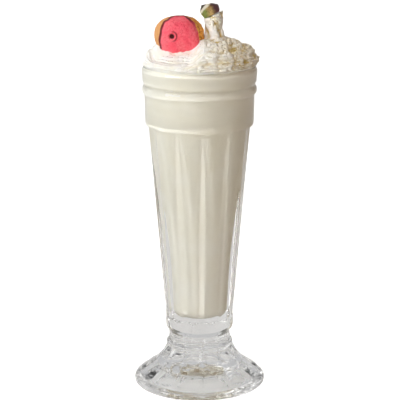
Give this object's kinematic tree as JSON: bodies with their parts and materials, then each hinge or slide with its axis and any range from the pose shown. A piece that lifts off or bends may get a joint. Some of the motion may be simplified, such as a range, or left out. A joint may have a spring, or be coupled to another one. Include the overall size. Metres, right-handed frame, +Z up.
{
  "type": "vanilla milkshake",
  "caption": "Tall footed soda glass with a fluted bowl, filled with vanilla milkshake, heaped with whipped cream and topped with a small iced doughnut and a piece of nut.",
  "frame": {"origin": "centre of the glass's foot, on the plane it stands on", "axes": "+Z up the glass; -Y toward the side it is seen from; +X to the right as seen"},
  "size_m": [0.0846, 0.0846, 0.2458],
  "materials": {
    "clear_glass": "clear, polished, pressed",
    "milkshake": "stands in for thick vanilla milkshake, opaque and pale",
    "cream": "stands in for whipped cream, soft and matte",
    "dough": "stands in for fried dough",
    "pink_icing": "stands in for set icing, finely grained",
    "nut": "stands in for pistachio, green with a dark skin"
  },
  "bodies": {
    "root": {"glass": "clear_glass", "milkshake": "milkshake", "whipped_cream": "cream", "doughnut": "dough", "icing": "pink_icing", "pistachio": "nut"}
  },
  "joints": []
}
